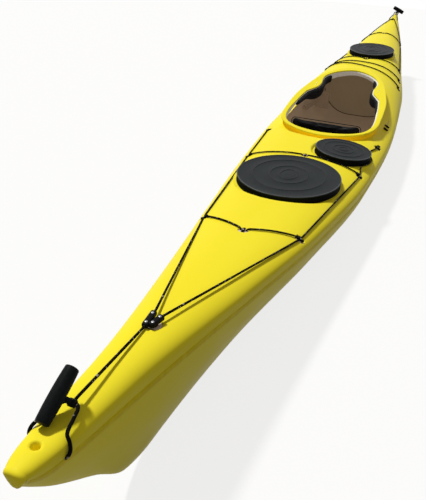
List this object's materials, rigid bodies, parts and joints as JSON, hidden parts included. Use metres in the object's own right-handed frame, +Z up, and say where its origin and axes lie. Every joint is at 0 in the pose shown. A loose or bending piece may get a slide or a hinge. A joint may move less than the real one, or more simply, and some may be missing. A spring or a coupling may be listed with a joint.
{
  "type": "sea kayak",
  "caption": "Sea kayak with a peaked foredeck, open cockpit, lift-off hatch lids, deck lines, end toggles, foot braces and a drop-down skeg.",
  "frame": {"origin": "centre of the flat of the keel, midway along the boat, where the boat rests on a floor", "axes": "+X towards the bow, +Y to port, +Z up"},
  "size_m": [4.88, 0.6074, 0.5273],
  "materials": {
    "hull_shell": "gloss",
    "deck_shell": "gloss",
    "coaming_shell": "gloss",
    "lid_rubber": "satin",
    "black_plastic": "satin",
    "line_cord": "matte",
    "foam": "matte",
    "grey_laminate": "matte",
    "rail_aluminium": "satin"
  },
  "bodies": {
    "boat": {"hull": "hull_shell", "deck": "deck_shell", "coaming": "coaming_shell", "aft_hatch_rim": "black_plastic", "day_hatch_rim": "black_plastic", "bow_hatch_rim": "black_plastic", "bulkhead_front": "grey_laminate", "bulkhead_rear": "grey_laminate", "bulkhead_day": "grey_laminate", "skeg_box": "grey_laminate", "seat": "grey_laminate", "skeg_cable": "black_plastic", "skeg_slider_guide": "black_plastic", "vee_fitting": "black_plastic", "bow_junction": "black_plastic", "hip_pad_port": "foam", "hip_pad_starboard": "foam", "thigh_pad_port": "foam", "thigh_pad_starboard": "foam", "foot_rail_port": "rail_aluminium", "foot_rail_starboard": "rail_aluminium", "stern_fitting_port": "black_plastic", "stern_fitting_centre": "black_plastic", "stern_fitting_starboard": "black_plastic", "aft_fitting_port": "black_plastic", "aft_fitting_centre": "black_plastic", "aft_fitting_starboard": "black_plastic", "side_fitting_port": "black_plastic", "side_fitting_starboard": "black_plastic", "elastic_fitting_port": "black_plastic", "elastic_fitting_starboard": "black_plastic", "elastic_fitting_rear": "black_plastic", "foredeck_fitting_port": "black_plastic", "foredeck_fitting_centre": "black_plastic", "foredeck_fitting_starboard": "black_plastic", "bow_fitting_port": "black_plastic", "bow_fitting_centre": "black_plastic", "bow_fitting_starboard": "black_plastic", "stern_toggle_loop": "line_cord", "bow_toggle_loop": "line_cord", "port_line_aft": "line_cord", "starboard_line_aft": "line_cord", "cross_line_stern": "line_cord", "cross_line_aft": "line_cord", "cross_line_fore": "line_cord", "cross_line_bow": "line_cord", "bow_line": "line_cord", "deck_elastic": "line_cord", "stern_line": "line_cord"},
    "lid_aft": {"aft_hatch_lid": "lid_rubber"},
    "lid_day": {"day_hatch_lid": "lid_rubber"},
    "lid_bow": {"bow_hatch_lid": "lid_rubber"},
    "backband": {"backband": "foam"},
    "pedal_port": {"foot_pedal_port": "black_plastic"},
    "pedal_starboard": {"foot_pedal_starboard": "black_plastic"},
    "skeg": {"skeg_blade": "black_plastic"},
    "skeg_knob": {"skeg_slider_knob": "black_plastic"},
    "toggle_stern": {"stern_toggle": "black_plastic"},
    "toggle_bow": {"bow_toggle": "black_plastic"}
  },
  "joints": [
    {"name": "aft_lid_lift", "type": "slide", "parent": "boat", "child": "lid_aft", "axis": [0.012, 0, 0.9999], "range_m": [0, 0.12]},
    {"name": "day_lid_lift", "type": "slide", "parent": "boat", "child": "lid_day", "axis": [0, -0.0698, 0.9976], "range_m": [0, 0.12]},
    {"name": "bow_lid_lift", "type": "slide", "parent": "boat", "child": "lid_bow", "axis": [-0.04, 0, 0.9992], "range_m": [0, 0.12]},
    {"name": "backband_tilt", "type": "hinge", "parent": "boat", "child": "backband", "pos_m": [-0.232, 0, 0.2163], "axis": [0, 1, 0], "range_deg": [-3, 25]},
    {"name": "port_pedal_slide", "type": "slide", "parent": "boat", "child": "pedal_port", "axis": [0.9944, -0.1061, 0], "range_m": [-0.12, 0.12]},
    {"name": "starboard_pedal_slide", "type": "slide", "parent": "boat", "child": "pedal_starboard", "axis": [0.9944, 0.1061, 0], "range_m": [-0.12, 0.12]},
    {"name": "skeg_hinge", "type": "hinge", "parent": "boat", "child": "skeg", "pos_m": [-1.27, 0, 0.042], "axis": [0, -1, 0], "range_deg": [0, 50]},
    {"name": "skeg_knob_slide", "type": "slide", "parent": "boat", "child": "skeg_knob", "axis": [0.9979, 0, 0.0647], "range_m": [0, 0.09]},
    {"name": "stern_toggle_swing", "type": "hinge", "parent": "boat", "child": "toggle_stern", "pos_m": [-2.29, -0.006, 0.397], "axis": [0, 1, 0], "range_deg": [0, 30]},
    {"name": "bow_toggle_swing", "type": "hinge", "parent": "boat", "child": "toggle_bow", "pos_m": [2.372, -0.006, 0.481], "axis": [0, 1, 0], "range_deg": [-40, 0]}
  ],
  "couplings": [
    {"joint": "skeg_knob_slide", "follows": "skeg_hinge", "m_per_rad": 0.103}
  ]
}
